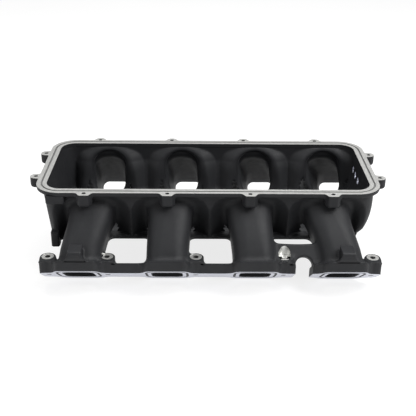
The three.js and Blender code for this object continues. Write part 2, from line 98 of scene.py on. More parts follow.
FLANGE = {"thickness": 12, "bar_outer": 16, "bar_inner": -26, "pad_outer": 36, "pad_inner": -40}
FLANGE_PAD_HALF = 27
FLANGE_BOLT = {"offset": 36.5, "first": -38, "radius": 3.4, "boss": 10, "nose": 3.6, "seat": 7.7}
SEAT_Z = -75.4
SEAL = {"offset": 4.6, "width": 3, "depth": 2.4}
NOTCH = {"left": 109.8, "right": 131.5, "depth": 22}
WEB = {"outer": 17, "thickness": 14, "side_height": 44, "sag": 6}
FOOT = {"width": 16.5, "front": 149.6, "top": -53, "bottom": -79, "depth": 22}

FILLET = {"tub": 9, "flange": 9, "boss": 6, "web": 6, "foot": 3, "mouth": 9, "edge": 2.5}
OVERLAP = 2.5  # how far a piece runs on under its neighbour
SINK = 0.3  # how deep it lies under it there
ROOM_MARGIN = 0.05
STEP = {"tub": 1.5, "rail": 1.0, "runner": 1.25, "boss": 0.8, "web": 1.0, "flange": 1.25}
PAD = {"tub": 6, "rail": 2, "runner": 14, "boss": 9, "web": 9, "flange": 4}
PAST = 400  # past the ends of the part, for cutting tools
TOUCH = 0.1  # how near a face's centre lies to the surface it belongs to
FACING = 0.99  # how squarely a machined face looks its way
SHARP_ANGLE = math.radians(38)
SEAL_SHRINK = 0.35
SEAL_SECTION = ((0, 2.0), (0, 1.0), (0.18, 0.45), (0.5, 0.25), (0.82, 0.45), (1, 1.0), (1, 2.0))

PORT_SIN = math.sin(PORT_TILT)
PORT_COS = math.cos(PORT_TILT)


class Bank:
    """One row of four runners; side is -1 for the front row and +1 for the rear one."""

    def __init__(self, name, side, port_middle, mouths):
        self.name = name
        self.side = side
        self.mouths = mouths
        self.ports = [port_middle + (i - 1.5) * PORT_PITCH for i in range(4)]
        first = self.ports[0] + FLANGE_BOLT["first"]
        self.bolts = [first] + [x + FLANGE_BOLT["offset"] for x in self.ports]
        margin = FLANGE_BOLT["boss"] + 0.6
        self.ends = (self.bolts[0] - margin, self.bolts[-1] + margin)


BANKS = (
    Bank("front", -1, 3.6, (-149.5, -49.2, 52.6, 152.4)),
    Bank("rear", 1, 27.6, (-142, -37.2, 67.6, 167)),
)


def rail_centre():
    """The centre of the rail face in the row frame, from the CAD rail's own box, in metres."""
    lows, highs = zip(*(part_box(node) for node in RAIL_NODES))
    low = Vector(map(min, zip(*lows)))
    high = Vector(map(max, zip(*highs)))
    front_reach = (RAIL_BOLT["long_y"] + EAR["reach"]) * MM
    return Vector(((low.x + high.x) / 2, low.y + front_reach, high.z))


RAIL_NODES = ["rail_front", "rail_rear", "rail_left", "rail_right"]
TUB_NODES = ["plenum_floor", "end_wall_left", "end_wall_right"]
TUB_NODES += [f"bay_{bank.name}_{i + 1}" for bank in BANKS for i in range(4)]
ORIGIN = rail_centre()
ROOM_LOW = (np.array(CAD_BOX[0]) - np.array(ORIGIN)) / MM + ROOM_MARGIN
ROOM_HIGH = (np.array(CAD_BOX[1]) - np.array(ORIGIN)) / MM - ROOM_MARGIN


# ---------- distance fields ----------
def blend_min(a, b, k):
    h = np.maximum(k - np.abs(a - b), 0) / k
    return np.minimum(a, b) - h * h * k / 4


def blend_max(a, b, k):
    return -blend_min(-a, -b, k)


def rounded_rect(x, y, half_x, half_y, radius):
    qx = np.abs(x) - half_x + radius
    qy = np.abs(y) - half_y + radius
    outside = np.hypot(np.maximum(qx, 0), np.maximum(qy, 0))
    return outside + np.minimum(np.maximum(qx, qy), 0) - radius


def box_span(value, low, high):
    """Signed distance to the slab between two values."""
    return np.abs(value - (low + high) / 2) - (high - low) / 2


def smoothstep(t):
    t = np.clip(t, 0, 1)
    return t * t * (3 - 2 * t)


def soft_curve(knots, values, blur=14):
    """A line through knots with its corners rounded, as a function."""
    t = np.linspace(knots[0] - 40, knots[-1] + 40, 400)
    first = (values[1] - values[0]) / (knots[1] - knots[0])
    raw = np.interp(t, knots, values) + np.minimum(t - knots[0], 0) * first
    count = int(blur / (t[1] - t[0])) | 1
    window = np.hanning(count + 2)
    padded = np.pad(raw, (len(window) // 2,), mode="edge")
    soft = np.convolve(padded, window / window.sum(), mode="valid")
    return lambda s: np.interp(s, t, soft)


LEAN = soft_curve(RUNNER_KNOTS, RUNNER_LEAN)
WIDTH = soft_curve(RUNNER_KNOTS, RUNNER_WIDTHS)
HEIGHT = soft_curve(RUNNER_KNOTS, RUNNER_HEIGHTS)
RADIUS = soft_curve(RUNNER_KNOTS, RUNNER_RADII)


def port_coords(q, z):
    """Height across the port face, and distance back from the face, of a point of a bank."""
    dq = q - PORT["y"]
    dz = z - PORT["z"]
    return dq * PORT_SIN + dz * PORT_COS, dz * PORT_SIN - dq * PORT_COS


def shoulder(q, z, skin):
    """The plane that a runner's top turns over to, on its way into the plenum wall."""
    top = MOUTH["z"] + MOUTH["height"] / 2 + skin
    slant = math.hypot(1, SHOULDER_SLOPE)
    return (z - top + SHOULDER_SLOPE * (q - MOUTH["y"])) / slant


def runner_tube(bank, index, x, q, z, skin):
    up, back = port_coords(q, z)
    port = bank.ports[index]
    centre = port + (bank.mouths[index] - port) * LEAN(back)
    half_w = WIDTH(back) / 2 + skin
    half_h = HEIGHT(back) / 2 + skin
    tube = rounded_rect(x - centre, up, half_w, half_h, RADIUS(back) + skin)
    return blend_max(tube, shoulder(q, z, skin), 16)


def mouth_tube(bank, index, x, q, z):
    run = np.clip((MOUTH["y"] + MOUTH["flare_run"] - q) / MOUTH["flare_run"], 0, 1.6)
    grow = MOUTH["flare"] * run * run
    half_w = MOUTH["width"] / 2 + grow
    half_h = MOUTH["height"] / 2 + grow
    radius = MOUTH["radius"] + grow
    section = rounded_rect(x - bank.mouths[index], z - MOUTH["z"], half_w, half_h, radius)
    section = np.maximum(section, box_span(q, MOUTH["y"] - 14, MOUTH["y"] + 12))
    within = tub_plan(x, q, z, 0, TUB["wall"])
    return np.maximum(section, np.maximum(within, TUB["floor"] + TUB["plate"] - z))


def passage(bank, index, x, q, z):
    tube = np.maximum(runner_tube(bank, index, x, q, z, 0), MOUTH["y"] - q)
    return blend_min(tube, mouth_tube(bank, index, x, q, z), 6)


def pod_depth(bank, x, z):
    """How far the plenum wall is pushed inwards by the arches round a bank's mouths."""
    depth = 0
    for mouth in bank.mouths:
        side = np.abs(x - mouth) - POD["half_width"]
        arch = np.hypot(x - mouth, z - POD["centre_z"]) - POD["arch"]
        inside = -blend_max(side, arch, POD["corner"])
        t = np.clip(inside / POD["blend"], 0, 1)
        depth = np.maximum(depth, POD["depth"] * np.sin(t * math.pi / 2))
    return depth


def wall_push(x, y, z):
    return np.where(y < 0, pod_depth(BANKS[0], x, z), pod_depth(BANKS[1], x, z))


def tub_plan(x, y, z, push, shrink):
    """The plenum's outline at each height, drawn in by shrink: both ends lean, and so do the sides."""
    fall = np.clip((z + RAIL["thickness"]) / (TUB["floor"] + RAIL["thickness"]), 0, 1.2)
    left = -TUB["half_length"] + DRAFT * fall
    deep = np.clip(HIP["z"] - z, 0, 60)
    turn = (HIP["sweep"] - np.sqrt(HIP["sweep"] ** 2 - 4 * HIP["bow"] * deep)) / (2 * HIP["bow"])
    right = TUB["half_length"] - HIP["reach"] * turn**2
    low = np.clip((WAIST["z"] - z) / (WAIST["z"] - TUB["floor"]), 0, 1.2)
    near = smoothstep((WAIST["reach"] + WAIST["ease"] - np.abs(x)) / (2 * WAIST["ease"]))
    half_y = TUB["half_width"] - WAIST["inset"] * low * near
    half_x = (right - left) / 2 - shrink
    return rounded_rect(
        x - (left + right) / 2, np.abs(y) + push, half_x, half_y - shrink, TUB["radius"] - shrink
    )


def tub_outside(x, y, z):
    lip = smoothstep((z - RECESS_LIP["z"]) / RECESS_LIP["ease"])
    plan = tub_plan(x, y, z, wall_push(x, y, z) * lip, 0)
    return np.maximum(blend_max(plan, TUB["floor"] - z, 4), z - TUB_TOP)


def tub_cavity(x, y, z):
    plan = tub_plan(x, y, z, wall_push(x, y, z), TUB["wall"])
    return blend_max(plan, TUB["floor"] + TUB["plate"] - z, 10)


def corner_blocks(x, y, z):
    """The pad under the rail and the leg by the floor, both at the front left corner."""
    q = -y
    half_pad = CORNER_PAD["width"] / 2
    half_leg = CORNER_LEG["width"] / 2
    pad = np.maximum(
        rounded_rect(x - CORNER_PAD["x"], q - TUB["half_width"], half_pad, CORNER_PAD["depth"], 2),
        box_span(z, TUB_TOP - CORNER_PAD["height"], TUB_TOP),
    )
    depth = CORNER_LEG["depth"] / 2
    leg = np.maximum(
        rounded_rect(x - CORNER_LEG["x"], q - TUB["half_width"] + depth, half_leg, depth, 2.5),
        box_span(z, TUB["floor"] - CORNER_LEG["drop"], TUB["floor"] + 16),
    )
    return np.minimum(pad, leg)


def flange_plate(bank, x, q, z):
    _, back = port_coords(q, z)
    middle = (bank.ends[0] + bank.ends[1]) / 2
    half = (bank.ends[1] - bank.ends[0]) / 2
    outer, inner = FLANGE["bar_outer"] * PORT_SIN, FLANGE["bar_inner"] * PORT_SIN
    bar_q = PORT["y"] + (outer + inner) / 2
    plan = rounded_rect(x - middle, q - bar_q, half, (outer - inner) / 2, 7)
    outer, inner = FLANGE["pad_outer"] * PORT_SIN, FLANGE["pad_inner"] * PORT_SIN
    pad_q = PORT["y"] + (outer + inner) / 2
    for port in bank.ports:
        pad = rounded_rect(x - port, q - pad_q, FLANGE_PAD_HALF, (outer - inner) / 2, 8)
        plan = blend_min(plan, pad, 15)
    return plan, blend_max(plan, back - FLANGE["thickness"], FILLET["edge"])


def boss_post(x, q, z, bolt):
    nose = np.clip(q - PORT["y"], 0, FLANGE_BOLT["nose"])
    plan = np.hypot(x - bolt, q - PORT["y"] - nose) - FLANGE_BOLT["boss"]
    return blend_max(plan, z - SEAT_Z - 0.25, 1.6)


def seat_space(bank, x, q, z):
    """The clear space over a bank's bolt seats, which the tool cuts out of the runners beside them."""
    posts = [np.hypot(x - bolt, q - PORT["y"]) - FLANGE_BOLT["seat"] for bolt in bank.bolts]
    return np.maximum(nearest(posts), SEAT_Z - z)


def foot_boss(bank, index, x, q, z):
    half = FOOT["depth"] / 2
    middle = FOOT["front"] - half
    side = rounded_rect(x - bank.ports[index], q - middle, FOOT["width"] / 2, half, 1.4)
    slope = (q - FOOT["front"] + (z - FOOT["top"]) * 0.5 + 1.5) * 0.9
    block = np.maximum(side, box_span(z, FOOT["bottom"], FOOT["top"]))
    return blend_max(block, slope, 1.5)


def notch(x, q, z):
    _, back = port_coords(q, z)
    half = (NOTCH["right"] - NOTCH["left"]) / 2
    tip = NOTCH["depth"] - half
    over = np.maximum(back - tip, 0)
    return np.hypot(x - (NOTCH["left"] + NOTCH["right"]) / 2, over) - half


def bridge_web(bank, x, q, z):
    up, back = port_coords(q, z)
    left, right = bank.mouths[2], bank.ports[3]
    s = (x - left) / (right - left)
    top = WEB["side_height"] - 4 * WEB["sag"] * s * (1 - s)
    plate = blend_max(box_span(up, WEB["outer"] - WEB["thickness"], WEB["outer"]), back - top, 3)
    return np.maximum(plate, np.maximum(box_span(x, left, right), -back))


def has_feet(bank):
    return bank.side < 0


def room(x, y, z):
    """The CAD part's own box, which the fillets stay inside."""
    across = box_span(x, ROOM_LOW[0], ROOM_HIGH[0])
    return np.maximum(np.maximum(across, box_span(y, ROOM_LOW[1], ROOM_HIGH[1])), ROOM_LOW[2] - z)


class Casting:
    """The raw sub-shapes of one bank at a set of points, and the whole casting blended from them."""

    def __init__(self, bank, x, y, z, runners=range(4)):
        q = y * bank.side
        self.tub = tub_outside(x, y, z)
        self.plan, self.flange = flange_plate(bank, x, q, z)
        self.runners = {}
        for index in runners:
            tube = runner_tube(bank, index, x, q, z, RUNNER_WALL)
            if has_feet(bank) and index in (0, 3):
                tube = blend_min(tube, foot_boss(bank, index, x, q, z), FILLET["foot"])
            self.runners[index] = np.maximum(tube, RUNNER_ROOT - q)
        self.bosses = [boss_post(x, q, z, bolt) for bolt in bank.bolts]
        self.web = bridge_web(bank, x, q, z) if has_feet(bank) else None
        self.room = room(x, y, z)
        self.hollow = tub_cavity(x, y, z)
        for index in runners:
            self.hollow = blend_min(self.hollow, passage(bank, index, x, q, z), FILLET["mouth"])
        back = port_coords(q, z)[1]
        self.below = -back - 3
        above = np.maximum(back - FLANGE["thickness"], 0)
        self.limit = self.plan - above - above**2 / 2
        self.notch = notch(x, q, z) if has_feet(bank) else None

    def whole(self):
        solid = self.flange
        for tube in self.runners.values():
            solid = blend_min(solid, tube, FILLET["flange"])
        for boss in self.bosses:
            solid = blend_min(solid, boss, FILLET["boss"])
        if self.web is not None:
            solid = blend_min(solid, self.web, FILLET["web"])
        for boss in self.bosses:
            self.limit = np.minimum(self.limit, boss)
        solid = np.maximum(solid, self.limit)
        solid = blend_min(solid, self.tub, FILLET["tub"])
        solid = np.maximum(np.maximum(solid, self.below), -self.hollow)
        solid = np.maximum(solid, self.room)
        if self.notch is not None:
            solid = blend_max(solid, -self.notch, FILLET["edge"])
        return solid


def share(whole, own, others):
    """One piece's share of the casting. Past the seam it dips a little under its neighbour."""
    region = own - others
    dip = SINK * np.clip(region / OVERLAP, 0, 1)
    return np.maximum(whole + dip, region - OVERLAP)


def nearest(fields):
    return np.minimum.reduce([np.asarray(f) for f in np.broadcast_arrays(*fields)])


def runner_field(bank, index):
    near = [i for i in range(4) if abs(i - index) <= 1]

    def field(x, y, z):
        c = Casting(bank, x, y, z, near)
        others = [c.tub, *c.bosses, *(c.runners[i] for i in near if i != index)]
        if c.web is not None:
            others.append(c.web)
        back = port_coords(y * bank.side, z)[1]
        piece = share(c.whole(), c.runners[index], nearest(others))
        piece = np.maximum(piece, -seat_space(bank, x, y * bank.side, z))
        return np.maximum(piece, FLANGE["thickness"] - OVERLAP - back)

    return field


def boss_field(bank, number):
    def field(x, y, z):
        c = Casting(bank, x, y, z)
        others = [c.tub, *c.runners.values()]
        if c.web is not None:
            others.append(c.web)
        others += [b for i, b in enumerate(c.bosses) if i != number]
        back = port_coords(y * bank.side, z)[1]
        piece = share(c.whole(), c.bosses[number], nearest(others))
        reach = np.hypot(x - bank.bolts[number], y * bank.side - PORT["y"]) - 2 * FLANGE_BOLT["boss"]
        return np.maximum(np.maximum(piece, reach), FLANGE["thickness"] - OVERLAP - back)

    return field


def web_field(bank):
    def field(x, y, z):
        c = Casting(bank, x, y, z, (2, 3))
        others = [c.tub, *c.bosses, *c.runners.values()]
        back = port_coords(y * bank.side, z)[1]
        piece = share(c.whole(), c.web, nearest(others))
        return np.maximum(piece, FLANGE["thickness"] - OVERLAP - back)

    return field


def flange_field(bank, low_x, high_x):
    def field(x, y, z):
        c = Casting(bank, x, y, z)
        back = port_coords(y * bank.side, z)[1]
        piece = np.maximum(c.whole(), back - FLANGE["thickness"] - 0.4)
        return np.maximum(piece, box_span(x, low_x, high_x))

    return field


def tub_field(x, y, z):
    front = Casting(BANKS[0], x, y, z)
    rear = Casting(BANKS[1], x, y, z)
    whole = np.minimum(front.whole(), rear.whole())
    whole = np.maximum(whole, -np.minimum(front.hollow, rear.hollow))
    others = nearest([*front.runners.values(), *rear.runners.values()])
    piece = share(whole, front.tub, others)
    return np.minimum(piece, np.maximum(corner_blocks(x, y, z), -tub_cavity(x, y, z)))


def ear_plan(x, out, trapezoid):
    if trapezoid:
        taper = (EAR["half_base"] - EAR["half_tip"]) / EAR["reach"]
        flank = (np.abs(x) - EAR["half_base"] + taper * np.maximum(out, 0)) / math.hypot(1, taper)
        plan = blend_max(flank, out - EAR["reach"], 1.5)
    else:
        plan = np.hypot(x, np.maximum(out, 0)) - EAR["round"]
    return np.maximum(plan, -out - 7)


def rail_bolts():
    """Every rail bolt: place, outward direction, whether its ear is a trapezoid, and its depth."""
    bolts = []
    for i in range(4):
        x = (i - 1.5) * RAIL_BOLT["pitch"]
        bolts.append((x, -RAIL_BOLT["long_y"], (0, -1), True, EAR["depth"]))
        bolts.append((x, RAIL_BOLT["long_y"], (0, 1), False, EAR["depth"]))
    for sx in (-1, 1):
        for sy in (-1, 1):
            place = (sx * RAIL_BOLT["end_x"], sy * RAIL_BOLT["end_y"])
            bolts.append((*place, (sx, 0), False, EAR["end_depth"]))
    return bolts


def rail_field(x, y, z):
    width = RAIL["width"]
    outer = rounded_rect(
        x, y, RAIL["half_length"] + width, RAIL["half_width"] + width, RAIL["radius"] + width
    )
    inner = rounded_rect(x, y, RAIL["half_length"], RAIL["half_width"], RAIL["radius"])
    solid = blend_max(outer, -z - RAIL["thickness"], 2)
    for bx, by, (ox, oy), trapezoid, depth in rail_bolts():
        out = (x - bx) * ox + (y - by) * oy
        side = (x - bx) * oy + (y - by) * ox
        ear = blend_max(ear_plan(side, out, trapezoid), -z - depth, 4)
        solid = blend_min(solid, ear, 3)
    wall = rounded_rect(
        x, y, TUB["half_length"] - 1, TUB["half_width"] - 1, TUB["radius"]
    )
    below_lip = np.maximum(wall, z + RAIL["thickness"])
    solid = np.maximum(np.maximum(solid, -inner), -below_lip)
    return np.maximum(solid, z - 2)


# ---------- surfaces from fields ----------
def surface_net(field, low, high, step):
    """Vertices and quads of the surface where a field is zero, between two corners."""
    axes = [np.arange(a - step, b + 2 * step, step) for a, b in zip(low, high)]
    x, y, z = np.meshgrid(*axes, indexing="ij", sparse=True)
    values = np.broadcast_to(field(x, y, z), [len(a) for a in axes]).copy()
    inside = values < 0
    corners = [(i, j, k) for i in (0, 1) for j in (0, 1) for k in (0, 1)]
    shape = [n - 1 for n in values.shape]

    def window(grid, corner):
        return grid[tuple(slice(c, c + n) for c, n in zip(corner, shape))]

    filled = sum(window(inside, c).astype(np.int8) for c in corners)
    cells = np.argwhere((filled > 0) & (filled < 8))
    total = np.zeros((len(cells), 3))
    count = np.zeros(len(cells))
    for corner in corners:
        for axis in range(3):
            if corner[axis]:
                continue
            far = list(corner)
            far[axis] = 1
            a = values[tuple((cells + corner).T)]
            b = values[tuple((cells + far).T)]
            crossing = (a < 0) != (b < 0)
            t = np.where(crossing, a / np.where(crossing, a - b, 1), 0)
            point = np.tile(np.array(corner, float), (len(cells), 1))
            point[:, axis] = t
            total += point * crossing[:, None]
            count += crossing
    local = cells + total / count[:, None]
    points = local * step + np.array([a[0] for a in axes])

    number = np.full(shape, -1, np.int64)
    number[tuple(cells.T)] = np.arange(len(cells))
    quads = []
    for axis in range(3):
        u, v = [(1, 2), (2, 0), (0, 1)][axis]
        start = [slice(1, -1)] * 3
        start[axis] = slice(0, -1)
        end = list(start)
        end[axis] = slice(1, None)
        a, b = inside[tuple(start)], inside[tuple(end)]
        for sign, mask in ((1, a & ~b), (-1, ~a & b)):
            base = np.argwhere(mask) + [0 if i == axis else 1 for i in range(3)]
            ring = []
            for du, dv in ((-1, -1), (0, -1), (0, 0), (-1, 0)):
                cell = base.copy()
                cell[:, u] += du
                cell[:, v] += dv
                ring.append(number[tuple(cell.T)])
            quads.append(np.stack(ring[::sign], axis=1))
    return points, np.concatenate(quads)


def settle(field, points, step):
    """Moves the vertices onto the surface itself, along the field's slope."""
    for _ in range(2):
        value = field(*points.T)
        slope = np.stack([field(*(points + d).T) - value for d in np.eye(3) * 0.05], axis=1) / 0.05
        size = np.maximum((slope**2).sum(axis=1, keepdims=True), 0.3)
        move = slope * value[:, None] / size
        points = points - np.clip(move, -step / 2, step / 2)
    return points


def to_frame(points):
    return np.asarray(points) * MM + np.array(ORIGIN)


def new_object(name, points, faces):
    mesh = bpy.data.meshes.new(name)
    mesh.from_pydata(to_frame(points).tolist(), [], faces)
    obj = bpy.data.objects.new(name, mesh)
    bpy.context.scene.collection.objects.link(obj)
    return obj


def field_piece(name, field, low, high, step):
    points, quads = surface_net(field, low, high, step)
    return new_object(name, settle(field, points, step), quads.tolist())


# ---------- crisp cutters ----------
def outline_points(half_x, half_y, radius, arc=10):
    points = []
    for turn in range(4):
        sx, sy = ((1, 1), (-1, 1), (-1, -1), (1, -1))[turn]
        for i in range(arc + 1):
            angle = (turn + i / arc) * math.pi / 2
            px = sx * (half_x - radius) + radius * math.cos(angle)
            py = sy * (half_y - radius) + radius * math.sin(angle)
            points.append((px, py))
    return points


def circle_points(radius, count=40):
    turns = [2 * math.pi * i / count for i in range(count)]
    return [(radius * math.cos(a), radius * math.sin(a)) for a in turns]


class Axes:
    """A flat frame that outlines are drawn in: an origin and three directions, in mm."""

    def __init__(self, origin, x, y):
        self.origin = np.array(origin, float)
        self.x = np.array(x, float)
        self.y = np.array(y, float)
        self.z = np.cross(self.x, self.y)

    def place(self, u, v, w):
        return self.origin + self.x * u + self.y * v + self.z * w


def upright(x=0, y=0):
    return Axes((x, y, 0), (1, 0, 0), (0, 1, 0))


def port_axes(bank, x):
    """Drawn on the port face, with its third direction pointing back up the runner."""
    up = (0, bank.side * PORT_SIN, PORT_COS)
    return Axes((x, bank.side * PORT["y"], PORT["z"]), (bank.side, 0, 0), up)


def prism(axes, outline, low, high, name="cutter"):
    count = len(outline)
    points = [axes.place(u, v, w) for w in (low, high) for u, v in outline]
    faces = [list(range(count))[::-1], list(range(count, 2 * count))]
    faces += [[i, (i + 1) % count, count + (i + 1) % count, count + i] for i in range(count)]
    return new_object(name, points, faces)


def ring_prism(axes, outer, inner, low, high, name="cutter"):
    count = len(outer)
    points = [axes.place(u, v, w) for w in (low, high) for loop in (outer, inner) for u, v in loop]
    faces = []
    for i in range(count):
        j = (i + 1) % count
        a, b, c, d = 0, count, 2 * count, 3 * count
        faces.append([a + i, b + i, b + j, a + j])
        faces.append([c + i, c + j, d + j, d + i])
        faces.append([a + i, a + j, c + j, c + i])
        faces.append([b + i, d + i, d + j, b + j])
    return new_object(name, points, faces)


def cut(obj, cutters):
    """Takes each cutter out of a piece, and deletes the cutters."""
    for cutter in cutters:
        modifier = obj.modifiers.new("cut", "BOOLEAN")
        modifier.operation = "DIFFERENCE"
        modifier.object = cutter
        for solver in ("MANIFOLD", "EXACT"):
            modifier.solver = solver
            graph = bpy.context.evaluated_depsgraph_get()
            mesh = bpy.data.meshes.new_from_object(obj.evaluated_get(graph))
            if 0 < len(mesh.vertices) != len(obj.data.vertices):
                break
        old = obj.data
        obj.modifiers.clear()
        obj.data = mesh
        bpy.data.meshes.remove(old)
        bpy.data.objects.remove(cutter)
    return obj


# ---------- materials ----------
def new_material(name):
    material = bpy.data.materials.new(name)
    material.use_nodes = True
    nodes = material.node_tree.nodes
    return material, material.node_tree, nodes["Principled BSDF"]


def link_ramp(tree, source, socket, low, high):
    """Drives a socket from a 0 to 1 source, mapped to a range of values or colours."""
    if isinstance(low, tuple):
        ramp = tree.nodes.new("ShaderNodeValToRGB")
        ramp.color_ramp.elements[0].color = (*low, 1)
        ramp.color_ramp.elements[1].color = (*high, 1)
        tree.links.new(source, ramp.inputs["Fac"])
        tree.links.new(ramp.outputs["Color"], socket)
        return
    mapper = tree.nodes.new("ShaderNodeMapRange")
    mapper.inputs["To Min"].default_value = low
    mapper.inputs["To Max"].default_value = high
    tree.links.new(source, mapper.inputs["Value"])
    tree.links.new(mapper.outputs["Result"], socket)


def noise(tree, scale, detail=4, stretch=(1, 1, 1)):
    coords = tree.nodes.new("ShaderNodeTexCoord")
    mapping = tree.nodes.new("ShaderNodeMapping")
    mapping.inputs["Scale"].default_value = stretch
    texture = tree.nodes.new("ShaderNodeTexNoise")
    texture.inputs["Scale"].default_value = scale
    texture.inputs["Detail"].default_value = detail
    tree.links.new(coords.outputs["Object"], mapping.inputs["Vector"])
    tree.links.new(mapping.outputs["Vector"], texture.inputs["Vector"])
    return texture.outputs["Fac"]


def add_bump(tree, shader, height, strength, distance):
    bump = tree.nodes.new("ShaderNodeBump")
    bump.inputs["Strength"].default_value = strength
    bump.inputs["Distance"].default_value = distance
    tree.links.new(height, bump.inputs["Height"])
    tree.links.new(bump.outputs["Normal"], shader.inputs["Normal"])


def powder_coat():
    """Black powder coat over sand-cast aluminium: an even fine grain with a dull sheen."""
    material, tree, shader = new_material("cast_black")
    shader.inputs["Specular IOR Level"].default_value = 0.28
    colour = shader.inputs["Base Color"]
    link_ramp(tree, noise(tree, 38, 5), colour, (0.010, 0.0105, 0.012), (0.019, 0.0195, 0.0215))
    link_ramp(tree, noise(tree, 160, 3), shader.inputs["Roughness"], 0.5, 0.68)
    add_bump(tree, shader, noise(tree, 900, 3), 0.35, 0.0004)
    return material


def machined(name, low, high, stretch):
    """Milled aluminium: long fine cutter marks over a bright face."""
    material, tree, shader = new_material(name)
    shader.inputs["Metallic"].default_value = 0.85
    link_ramp(tree, noise(tree, 60, 4, stretch), shader.inputs["Base Color"], low, high)
    link_ramp(tree, noise(tree, 120, 3, stretch), shader.inputs["Roughness"], 0.32, 0.5)
    add_bump(tree, shader, noise(tree, 420, 4, stretch), 0.12, 0.0002)
    return material


def dark_bore():
    """Bare drilled metal in shade, with the cutter's rings."""
    material, tree, shader = new_material("drilled_metal")
    shader.inputs["Metallic"].default_value = 0.8
    colour = shader.inputs["Base Color"]
    link_ramp(tree, noise(tree, 300, 2, (1, 1, 6)), colour, (0.10, 0.10, 0.10), (0.22, 0.22, 0.22))
    link_ramp(tree, noise(tree, 500, 2), shader.inputs["Roughness"], 0.35, 0.55)
    return material


def rubber():
    material, tree, shader = new_material("seal_rubber")
    colour = shader.inputs["Base Color"]
    link_ramp(tree, noise(tree, 200, 3), colour, (0.008, 0.008, 0.009), (0.016, 0.016, 0.017))
    link_ramp(tree, noise(tree, 90, 2), shader.inputs["Roughness"], 0.5, 0.72)
    add_bump(tree, shader, noise(tree, 1500, 2), 0.2, 0.0002)
    return material


CAST = powder_coat()
RAIL_METAL = machined("machined_rail", (0.66, 0.66, 0.64), (0.80, 0.80, 0.78), (6, 1, 1))
# The port faces' metal: the rail's machined aluminium painted darker, as painted shade on the downward
# faces, and tinted blue.
FACE_SHADED_METAL = machined("machined_face_shaded", (0.44, 0.45, 0.51), (0.60, 0.61, 0.68), (1, 6, 1))
# The groove walls' metal: the rail's machined aluminium painted darker, as painted shade in the groove.
GROOVE_SHADED_METAL = machined("machined_groove_shaded", (0.30, 0.30, 0.30), (0.42, 0.42, 0.41), (6, 1, 1))
BORE = dark_bore()
RUBBER = rubber()


def finish_piece(obj, *nodes, slot="cast_black", tests=()):
    """Smooth faces with sharp machined edges. Each test says which faces take another material."""
    mesh = obj.data
    mesh.materials.clear()
    mesh.materials.append(RUBBER if slot == "seal_rubber" else CAST)
    mesh.polygons.foreach_set("material_index", np.zeros(len(mesh.polygons), np.int32))
    count = len(mesh.polygons)
    centres = np.zeros(count * 3)
    normals = np.zeros(count * 3)
    mesh.polygons.foreach_get("center", centres)
    mesh.polygons.foreach_get("normal", normals)
    centres = (centres.reshape(-1, 3) - np.array(ORIGIN)) / MM
    normals = normals.reshape(-1, 3)
    chosen = np.zeros(count, np.int32)
    for material, test in tests:
        mesh.materials.append(material)
        chosen[test(centres, normals)] = len(mesh.materials) - 1
    mesh.polygons.foreach_set("material_index", chosen)
    mesh.polygons.foreach_set("use_smooth", np.ones(count, bool))
    mesh.set_sharp_from_angle(angle=SHARP_ANGLE)
    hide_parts(*nodes)
    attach(obj, "root")
    return obj


# ---------- pieces ----------
def node_span(*nodes, pad):
    """The corners of the CAD nodes' joint box, in mm from the rail centre, with room for fillets."""
    lows, highs = zip(*(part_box(node) for node in nodes))
    low = np.min([np.array(v) for v in lows], axis=0) - np.array(ORIGIN)
    high = np.max([np.array(v) for v in highs], axis=0) - np.array(ORIGIN)
    return low / MM - pad, high / MM + pad


def make_runner(bank, index):
    node = f"runner_{bank.name}_{index + 1}"
    low, high = node_span(node, pad=PAD["runner"])
    piece = field_piece(node + "_cast", runner_field(bank, index), low, high, STEP["runner"])
    return finish_piece(piece, node)


def seat_cutter(bank, x):
    return prism(upright(x, bank.side * PORT["y"]), circle_points(FLANGE_BOLT["seat"]), SEAT_Z, -30)


def bolt_cutter(bank, x):
    return prism(upright(x, bank.side * PORT["y"]), circle_points(FLANGE_BOLT["radius"], 28), -160, -20)


def axis_distance(centres, places):
    """How far each point is from the nearest of some upright axes."""
    x, y = centres[:, 0], centres[:, 1]
    return np.min([np.hypot(x - px, y - py) for px, py in places], axis=0)


def bolt_places(bank):
    return [(x, bank.side * PORT["y"]) for x in bank.bolts]


def seat_faces(bank):
    def test(centres, normals):
        flat = (np.abs(centres[:, 2] - SEAT_Z) < TOUCH / 2) & (normals[:, 2] > FACING)
        away = axis_distance(centres, bolt_places(bank))
        wall = np.abs(normals[:, 2]) < 0.05
        bored = wall & (np.abs(away - FLANGE_BOLT["seat"]) < 0.12) & (centres[:, 2] > SEAT_Z)
        return flat & (away < FLANGE_BOLT["seat"] + TOUCH) | bored

    return test


def bolt_walls(bank):
    def test(centres, normals):
        away = axis_distance(centres, bolt_places(bank))
        return (np.abs(away - FLANGE_BOLT["radius"]) < TOUCH) & (np.abs(normals[:, 2]) < 0.1)

    return test


def make_boss(bank, number):
    node = f"bolt_boss_{bank.name}_{number + 1}"
    low, high = node_span(node, pad=PAD["boss"])
    piece = field_piece(node + "_cast", boss_field(bank, number), low, high, STEP["boss"])
    x = bank.bolts[number]
    cut(piece, [bolt_cutter(bank, x), seat_cutter(bank, x)])
    tests = [(RAIL_METAL, seat_faces(bank)), (BORE, bolt_walls(bank))]
    return finish_piece(piece, node, tests=tests)


def make_web():
    bank = BANKS[0]
    low, high = node_span("bridge_web", pad=PAD["web"])
    piece = field_piece("bridge_web_cast", web_field(bank), low, high, STEP["web"])
    cut(piece, [seat_cutter(bank, x) for x in bank.bolts[2:4]])
    return finish_piece(piece, "bridge_web", tests=[(RAIL_METAL, seat_faces(bank))])


def port_face(bank):
    def test(centres, normals):
        _, back = port_coords(bank.side * centres[:, 1], centres[:, 2])
        down = -(normals[:, 2] * PORT_SIN - bank.side * normals[:, 1] * PORT_COS)
        return (np.abs(back) < TOUCH) & (down > FACING)

    return test


